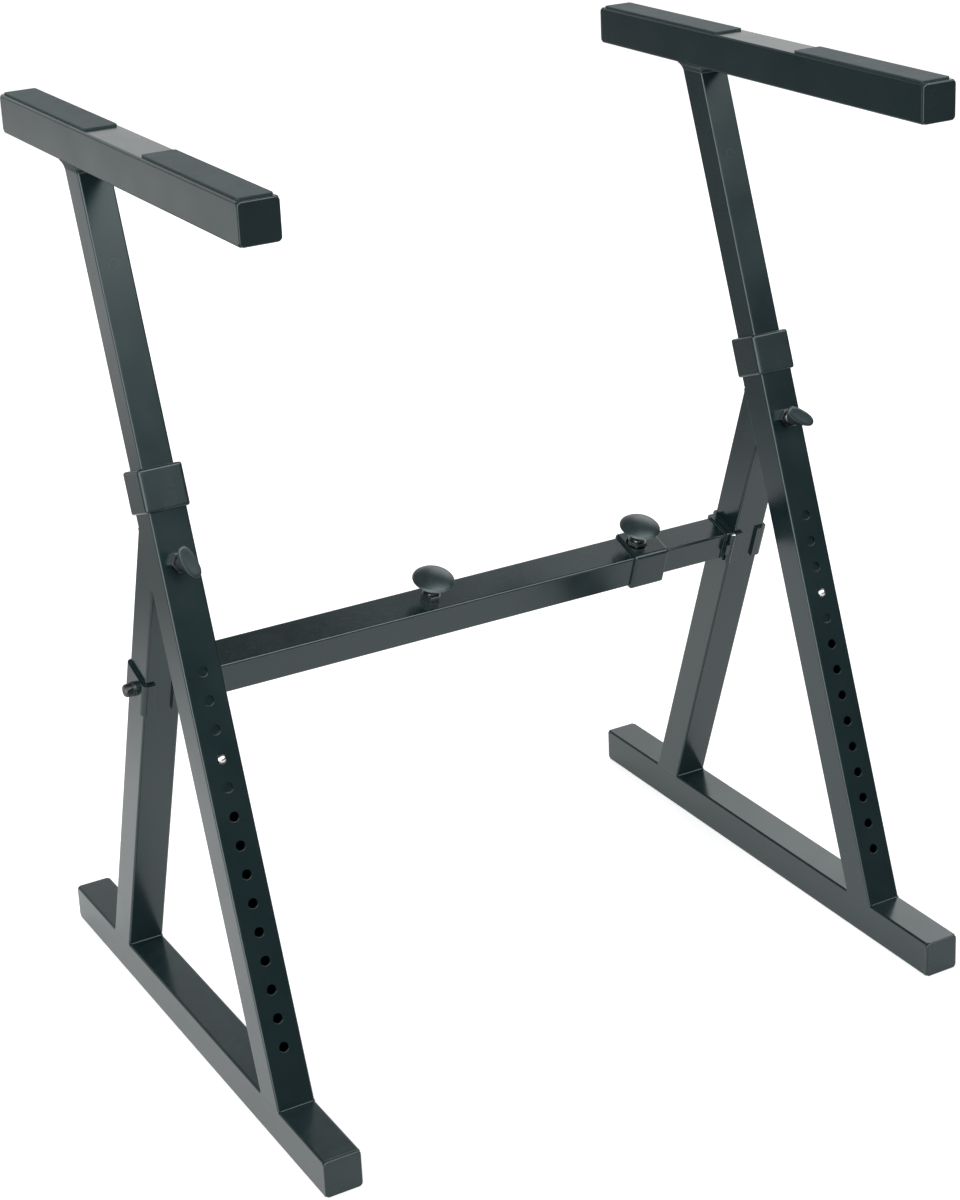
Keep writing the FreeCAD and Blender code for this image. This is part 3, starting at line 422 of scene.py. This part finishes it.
def makeFillet(side, label):
    quarter, corner = filletLook["quarter"], filletLook["corner"]
    count, rings = quarter * 4, []
    for height, reachX, reachY in filletLook["rings"]:
        middleY = filletLook["postY"] + (height - filletLook["armUnder"]) * filletLook["slope"]
        flatX = filletLook["halfX"] - corner + reachX
        flatY = filletLook["halfY"] - corner + reachY
        ring = []
        for k in range(count):
            sx, sy = ((1, 1), (-1, 1), (-1, -1), (1, -1))[k // quarter]
            turn = math.radians(90.0 * (k // quarter) + 90.0 * (k % quarter) / (quarter - 1))
            bulge = corner + filletLook["ripple"] * math.sin(
                2 * math.pi * filletLook["waves"] * k / count)
            ring.append((side * stand["sideX"] + sx * flatX + bulge * math.cos(turn),
                         middleY + sy * flatY + bulge * math.sin(turn), height))
        rings.append(ring)
    fit(loft(label + "ArmWeld", rings, True), "blackCoat", label + "_upright")


for side, label in sides:
    makeFillet(side, label)


# filler in the grooves where side faces are ground flush
flushLook = dict(below=0.0022, over=0.0004, depth=0.0026, sunk=0.00004)


def makeFlush(side, label):
    verts, faces = [], []
    for start, end, (inY, inZ) in stand["seams"]:
        for face in (-1, 1):
            skin = side * stand["sideX"] + face * (stand["tubeHalf"] - flushLook["sunk"])
            deep = skin - face * flushLook["depth"]
            first = len(verts)
            for y, z in (start, end):
                for x, reach in ((skin, flushLook["below"]), (skin, -flushLook["over"]),
                                 (deep, -flushLook["over"]), (deep, flushLook["over"])):
                    verts.append((x, y + inY * reach, z + inZ * reach))
            faces += [(first, first + 1, first + 2, first + 3),
                      (first + 7, first + 6, first + 5, first + 4)]
            faces += [(first + (k + 1) % 4, first + k, first + 4 + k, first + 4 + (k + 1) % 4)
                      for k in range(4)]
    piece = newPiece(label + "FlushWelds", verts, faces)
    outward(piece)
    fit(piece, "blackCoat", label + "_frame")


for side, label in sides:
    makeFlush(side, label)
print("fillets and flush welds on")


# wing knobs, lofted from a round hub to a long oval head
wingLook = dict(
    studAt=0.47185, turns=dict(left=70.0, right=37.0), spokes=72, squareness=2.35,
    squareFrom=0.011, squareBy=0.010,
    rings=(  # distance from the leg's face, half length, half width
        (0.0110, 0.0048, 0.0048), (0.0110, 0.0064, 0.0064), (0.0112, 0.0068, 0.0068),
        (0.0117, 0.0070, 0.0070), (0.0135, 0.0071, 0.0069), (0.0155, 0.0076, 0.0068),
        (0.0175, 0.0088, 0.0067), (0.0195, 0.0107, 0.0067), (0.0212, 0.0127, 0.0067),
        (0.0228, 0.0143, 0.0067), (0.0240, 0.0151, 0.0067), (0.0248, 0.0153, 0.0066),
        (0.0254, 0.0152, 0.0064), (0.0259, 0.0148, 0.0060), (0.0262, 0.0142, 0.0055),
        (0.0263, 0.0128, 0.0045), (0.0262, 0.0100, 0.0034), (0.0261, 0.0060, 0.0022),
        (0.0261, 0.0020, 0.0010)))


def oval(share, power):  # a point on a squared-off circle
    turn = 2 * math.pi * share
    return [math.copysign(abs(way) ** power, way) for way in (math.cos(turn), math.sin(turn))]


def makeWing(side, label):
    place, lean, count = legPlace(side), math.radians(wingLook["turns"][label]), wingLook["spokes"]
    long = Vector((math.cos(lean), 0, -math.sin(lean)))
    wide = Vector((math.sin(lean), 0, math.cos(lean)))
    rings = []
    for off, halfLong, halfWide in wingLook["rings"]:
        grown = min(1.0, (off - wingLook["squareFrom"]) / wingLook["squareBy"])
        power = 2.0 / (2.0 + (wingLook["squareness"] - 2.0) * grown)
        spot = Vector((0, -stand["tubeHalf"] - off, wingLook["studAt"]))
        ring = []
        for k in range(count):
            along, across = oval(k / count, power)
            ring.append(place @ (spot + long * (along * halfLong) + wide * (across * halfWide)))
        rings.append(ring)
    fit(loft(label + "WingHead", rings, True), "mouldedPlastic",
        label + "_wing_knob", label + "_wing_knob")


for side, label in sides:
    makeWing(side, label)
print("wing knobs made")


# threads on the clamp screws, where they show between nut and knob
threadLook = dict(radius=0.0049, pitch=0.0015, crest=0.0005, crestSides=4, turns=2.4,
                  stepsPerTurn=28, nutTop=0.008, barSpots=dict(left=-0.0370, right=0.1924))


def makeThreadTree():
    tree, keys, into = startTree("screwThread", [
        ("Radius", "Float", 0.005), ("Pitch", "Float", 0.0015),
        ("Turns", "Float", 3.0), ("Crest", "Float", 0.0006)])
    spiral = tree.nodes.new("GeometryNodeCurveSpiral")
    spiral.inputs["Resolution"].default_value = threadLook["stepsPerTurn"]
    tree.links.new(into.outputs["Turns"], spiral.inputs["Rotations"])
    for label in ("Start Radius", "End Radius"):
        tree.links.new(into.outputs["Radius"], spiral.inputs[label])
    tree.links.new(addMath(tree, "MULTIPLY", into.outputs["Turns"], into.outputs["Pitch"]),
                   spiral.inputs["Height"])
    crest = tree.nodes.new("GeometryNodeCurvePrimitiveCircle")
    crest.inputs["Resolution"].default_value = threadLook["crestSides"]
    tree.links.new(into.outputs["Crest"], crest.inputs["Radius"])
    endTree(tree, into, sweep(tree, spiral.outputs[0], crest.outputs[0]))
    return tree, keys


threadTree = makeThreadTree()


def addThread(name, place, body):
    thread = newPiece(name, [], [])
    bakeTree(thread, threadTree, "zincPlate", Radius=threadLook["radius"],
             Pitch=threadLook["pitch"], Turns=threadLook["turns"], Crest=threadLook["crest"])
    thread.data.transform(place)
    fit(thread, "zincPlate", body)


nutFace = stand["tubeHalf"] + threadLook["nutTop"]
for side, label in sides:
    addThread(label + "WingThread",
              legPlace(side) @ Matrix.Translation((0, -nutFace, wingLook["studAt"]))
              @ Matrix.Rotation(math.radians(90), 4, "X"), label + "_wing_knob")
for label, x in threadLook["barSpots"].items():
    addThread("barThread" + label.title(), barPlace() @ Matrix.Translation((x, 0, nutFace)),
              "width_knob_" + label)
print("threads cut")


# the row of holes sits a little higher than in the part, as the photograph has it
rowLook = dict(lift=0.0046, bore=0.0045, slack=0.0003, first=0.04185, pitch=0.0254, count=14,
               buttonAt=0.29585, weld=2e-6, touch=5e-6, crease=math.radians(32))
rowSpots = [rowLook["first"] + rowLook["pitch"] * k for k in range(rowLook["count"])]


def looseCopy(nodeName, label):
    mesh = nodes[nodeName].data.copy()
    if "custom_normal" in mesh.attributes:
        mesh.attributes.remove(mesh.attributes["custom_normal"])
    piece = bpy.data.objects.new(label, mesh)
    bpy.context.scene.collection.objects.link(piece)
    shell = bmesh.new()
    shell.from_mesh(mesh)
    bmesh.ops.remove_doubles(shell, verts=shell.verts, dist=rowLook["weld"])
    return piece, shell


def smoothShell(piece, shell):
    for face in shell.faces:
        face.smooth = True
    for edge in shell.edges:
        edge.smooth = edge.is_manifold and edge.calc_face_angle(0.0) < rowLook["crease"]
    shell.to_mesh(piece.data)
    shell.free()
    normals = piece.modifiers.new("normals", "WEIGHTED_NORMAL")
    normals.keep_sharp = True
    ready = piece.evaluated_get(bpy.context.evaluated_depsgraph_get())
    mesh = bpy.data.meshes.new_from_object(ready)
    piece.modifiers.remove(normals)
    piece.data = mesh


def liftHoles(nodeName, label, side, body, finish, outerSkin, centres):
    piece, shell = looseCopy(nodeName, label)
    place, skins = legPlace(side), (-outerSkin, stand["wall"] - outerSkin)
    touch = rowLook["touch"]
    bmesh.ops.transform(shell, matrix=place.inverted(), verts=shell.verts)
    flats = [f for f in shell.faces
             if any(all(abs(v.co.y - skin) < touch for v in f.verts) for skin in skins)]
    bmesh.ops.delete(shell, geom=flats, context="FACES")
    for vert in shell.verts:
        if vert.co.y < skins[1] + 2 * touch and any(
                abs(math.hypot(vert.co.x, vert.co.z - z) - rowLook["bore"]) < rowLook["slack"]
                for z in centres):
            vert.co.z += rowLook["lift"]
    for skin in skins:
        rims = [e for e in shell.edges if e.is_boundary
                and all(abs(v.co.y - skin) < touch for v in e.verts)]
        bmesh.ops.triangle_fill(shell, edges=rims, use_beauty=True)
    bmesh.ops.transform(shell, matrix=place, verts=shell.verts)
    bmesh.ops.recalc_face_normals(shell, faces=shell.faces)
    print(label, "open edges", sum(not e.is_manifold for e in shell.edges))
    smoothShell(piece, shell)
    piece.data.materials.clear()
    fit(piece, finish, body, nodeName)


def liftButton(nodeName, label, side, body):
    piece, shell = looseCopy(nodeName, label)
    shift = legPlace(side).to_3x3() @ Vector((0, 0, rowLook["lift"]))
    bmesh.ops.translate(shell, verts=shell.verts, vec=shift)
    smoothShell(piece, shell)
    fit(piece, "zincPlate", body, nodeName)


for side, label in sides:
    liftHoles(label + "_leg_tube", label + "LegHoled", side, label + "_frame",
              "plainCoat", stand["tubeHalf"], rowSpots)
    liftHoles(label + "_inner_post", label + "PostHoled", side, label + "_upright",
              "blackCoat", stand["postHalf"], [rowLook["buttonAt"]])
    liftButton(label + "_snap_button", label + "SnapHead", side, label + "_snap_button")
print("hole rows set")


# rolled lips on the lower edge of the open holes, and a stop in the post's plain hole
lipLook = dict(hole=0.0046, postHole=0.0042, postHoleAt=0.7304, lip=0.00025,
               sweep=math.radians(120), steps=24, round=8,
               plugDepths=(0.0014, 0.00006), plugSteps=40)


def makeLipTree():
    tree, keys, into = startTree("holeLips", [("Hole", "Float", 0.0045), ("Lip", "Float", 0.0003)])
    arc = tree.nodes.new("GeometryNodeCurveArc")
    arc.inputs["Resolution"].default_value = lipLook["steps"]
    arc.inputs["Start Angle"].default_value = math.radians(-90) - lipLook["sweep"] / 2
    arc.inputs["Sweep Angle"].default_value = lipLook["sweep"]
    tree.links.new(into.outputs["Hole"], arc.inputs["Radius"])
    edge = tree.nodes.new("GeometryNodeCurvePrimitiveCircle")
    edge.inputs["Resolution"].default_value = lipLook["round"]
    tree.links.new(into.outputs["Lip"], edge.inputs["Radius"])
    spots = tree.nodes.new("GeometryNodeMeshToPoints")
    tree.links.new(into.outputs["Geometry"], spots.inputs[0])
    row = tree.nodes.new("GeometryNodeInstanceOnPoints")
    tree.links.new(spots.outputs[0], row.inputs["Points"])
    tree.links.new(sweep(tree, arc.outputs[0], edge.outputs[0]), row.inputs["Instance"])
    row.inputs["Rotation"].default_value = (math.radians(90), 0, 0)
    endTree(tree, into, row.outputs[0])
    return tree, keys


lipTree = makeLipTree()


def addLips(name, side, spots, hole, body):
    lips = newPiece(name, spots, [])
    bakeTree(lips, lipTree, "blackCoat", Hole=hole, Lip=lipLook["lip"])
    lips.data.transform(legPlace(side))
    fit(lips, "blackCoat", body)


def makePlug(side, label):
    place, count, rings = legPlace(side), lipLook["plugSteps"], []
    for sunk in lipLook["plugDepths"]:
        turns = [2 * math.pi * k / count for k in range(count)]
        rings.append([place @ Vector((lipLook["postHole"] * math.cos(turn),
                                      sunk - stand["postHalf"],
                                      lipLook["postHoleAt"] + lipLook["postHole"] * math.sin(turn)))
                      for turn in turns])
    fit(loft(label + "HolePlug", rings, False), "plainCoat", label + "_upright")


for side, label in sides:
    addLips(label + "LegHoleLips", side,
            [(0, -stand["tubeHalf"], z + rowLook["lift"]) for z in rowSpots],
            lipLook["hole"], label + "_frame")
    addLips(label + "PostHoleLip", side, [(0, -stand["postHalf"], lipLook["postHoleAt"])],
            lipLook["postHole"], label + "_upright")
    makePlug(side, label)
print("hole lips on")


# the studio: a white floor and room for the camera, and softer walls for what mirrors
floorLook = dict(size=24.0, paint=0.82, glow=0.62, shine=0.55, mirrorNear=0.7, mirrorFar=1.25)
roomLight = dict(plain=0.5, mirrored=0.10)
behind = (0.1, 0.45)  # how far back a direction points before the back wall starts, and is full
# x, y and z are bands of directions: where light starts and is full, where it fades and ends
wallGlow = dict(x=(-0.62, -0.42, 0.92, 1.02), z=(-0.07, 0.05, 0.42, 0.62), strength=0.9)
backFloor = dict(x=(-0.55, -0.40), z=(-0.35, -0.27, -0.21, -0.13), strength=0.8)
lowGlow = dict(full=-0.32, end=-0.18, strength=0.25)
frontGlow = dict(y=(-0.2, -0.6), z=(0.33, 0.49, 0.9, 1.0), strength=6.8)
softBoxes = [  # direction, angle of the core, angle where it ends, strength
    ((0.65, 0.49, 0.59), 14, 22, 1.75),
    ((-0.90, -0.40, 0.10), 14, 38, 5.0),
]
lamps = dict(keyLamp=((-2.6, -0.8, 2.4), 1.8, 45),  # place, size, power
             fillLamp=((2.0, -2.6, 2.0), 2.0, 20),
             backLamp=((1.6, 2.6, 2.2), 2.0, 35))
lampAim = Vector((0, 0, 0.4))


def makeFloor():
    bpy.ops.mesh.primitive_plane_add(size=floorLook["size"])
    floor = bpy.context.object
    floor.name = "floor"
    material = bpy.data.materials.new("floorPaint")
    material.use_nodes = True
    tree = material.node_tree
    tree.nodes.clear()
    out = tree.nodes.new("ShaderNodeOutputMaterial")
    paint = tree.nodes.new("ShaderNodeBsdfDiffuse")
    paint.inputs["Color"].default_value = (floorLook["paint"],) * 3 + (1.0,)
    glow = tree.nodes.new("ShaderNodeEmission")
    glow.inputs["Color"].default_value = (1.0, 1.0, 1.0, 1.0)
    path = tree.nodes.new("ShaderNodeLightPath")
    seen = addMath(tree, "MULTIPLY", path.outputs["Is Camera Ray"], floorLook["glow"])
    mirrored = addMath(tree, "MULTIPLY", path.outputs["Is Glossy Ray"], floorLook["shine"])
    plug(tree, addMath(tree, "ADD", seen, mirrored), glow.inputs["Strength"])
    join = tree.nodes.new("ShaderNodeAddShader")
    plug(tree, paint.outputs[0], join.inputs[0])
    plug(tree, glow.outputs[0], join.inputs[1])
    reach = tree.nodes.new("ShaderNodeVectorMath")  # far off, gloss sees the room, not the floor
    reach.operation = "LENGTH"
    plug(tree, tree.nodes.new("ShaderNodeTexCoord").outputs["Object"], reach.inputs[0])
    far = addSpan(tree, reach.outputs["Value"], floorLook["mirrorNear"], floorLook["mirrorFar"])
    fade = tree.nodes.new("ShaderNodeMixShader")
    plug(tree, addMath(tree, "MULTIPLY", far, path.outputs["Is Glossy Ray"]), fade.inputs[0])
    plug(tree, join.outputs[0], fade.inputs[1])
    plug(tree, tree.nodes.new("ShaderNodeBsdfTransparent").outputs[0], fade.inputs[2])
    plug(tree, fade.outputs[0], out.inputs["Surface"])
    floor.data.materials.append(material)


def addPatch(tree, light, strength, *bands):  # light where every band of directions lets it in
    patch = strength
    for value, ends in bands:
        patch = addMath(tree, "MULTIPLY", patch, addSpan(tree, value, ends[0], ends[1]))
        if len(ends) == 4:
            patch = addMath(tree, "MULTIPLY", patch, addSpan(tree, value, ends[3], ends[2]))
    return addMath(tree, "ADD", light, patch)


def makeWorld():
    world = bpy.data.worlds.new("studioWorld")
    bpy.context.scene.world = world
    world.use_nodes = True
    tree = world.node_tree
    tree.nodes.clear()
    out = tree.nodes.new("ShaderNodeOutputWorld")
    path = tree.nodes.new("ShaderNodeLightPath")
    way = tree.nodes.new("ShaderNodeTexCoord").outputs["Generated"]
    axes = tree.nodes.new("ShaderNodeSeparateXYZ")
    plug(tree, way, axes.inputs[0])
    x, y, z = axes.outputs
    mirror = addPatch(tree, roomLight["mirrored"], wallGlow["strength"],
                      (y, behind), (x, wallGlow["x"]), (z, wallGlow["z"]))
    mirror = addPatch(tree, mirror, backFloor["strength"],
                      (y, behind), (x, backFloor["x"]), (z, backFloor["z"]))
    mirror = addPatch(tree, mirror, lowGlow["strength"], (z, (lowGlow["end"], lowGlow["full"])))
    mirror = addPatch(tree, mirror, frontGlow["strength"],
                      (y, frontGlow["y"]), (z, frontGlow["z"]))
    for aim, core, end, strength in softBoxes:
        near = addDot(tree, way, tuple(Vector(aim).normalized()))
        mirror = addPatch(tree, mirror, strength,
                          (near, [math.cos(math.radians(angle)) for angle in (end, core)]))
    light = addSpan(tree, path.outputs["Is Glossy Ray"], 0.0, 1.0, roomLight["plain"], mirror)
    light = addSpan(tree, path.outputs["Is Camera Ray"], 0.0, 1.0, light, 1.0)
    sky = tree.nodes.new("ShaderNodeBackground")
    sky.inputs["Color"].default_value = (1.0, 1.0, 1.0, 1.0)
    plug(tree, light, sky.inputs["Strength"])
    plug(tree, sky.outputs[0], out.inputs["Surface"])


def addLamp(name, place, size, power):
    data = bpy.data.lights.new(name, "AREA")
    data.shape = "SQUARE"
    data.size = size
    data.energy = power
    lamp = bpy.data.objects.new(name, data)
    bpy.context.scene.collection.objects.link(lamp)
    lamp.location = place
    lamp.rotation_euler = (lampAim - Vector(place)).to_track_quat("-Z", "Y").to_euler()
    lamp.visible_glossy = False


makeFloor()
makeWorld()
for name, (place, size, power) in lamps.items():
    addLamp(name, place, size, power)
print("studio lit")


# the camera at the photograph's angle, fitted to points of the stand
camera = dict(place=(-1.0598, -1.9395, 1.2882), azimuth=28.601, drop=19.952, roll=-2.684,
              focal=2568.97, longSide=1200.0, shiftY=-0.1039,  # focal and long side in pixels
              sensor=36.0, near=0.05, far=80.0)


def makeCamera():
    a, e, r = (math.radians(camera[k]) for k in ("azimuth", "drop", "roll"))
    ahead = Vector((math.sin(a) * math.cos(e), math.cos(a) * math.cos(e), -math.sin(e)))
    right = Vector((math.cos(a), -math.sin(a), 0))
    up = right.cross(ahead)
    right, up = (math.cos(r) * right + math.sin(r) * up, math.cos(r) * up - math.sin(r) * right)
    data = bpy.data.cameras.new("photoCamera")
    data.sensor_width = camera["sensor"]
    data.lens = camera["focal"] / camera["longSide"] * data.sensor_width
    data.shift_y = camera["shiftY"]
    data.clip_start, data.clip_end = camera["near"], camera["far"]
    eye = bpy.data.objects.new("photoCamera", data)
    bpy.context.scene.collection.objects.link(eye)
    turn = Matrix((right, up, -ahead)).transposed().to_4x4()
    eye.matrix_world = Matrix.Translation(camera["place"]) @ turn
    bpy.context.scene.camera = eye


makeCamera()
bpy.context.scene.view_settings.view_transform = "Standard"
print("camera set")
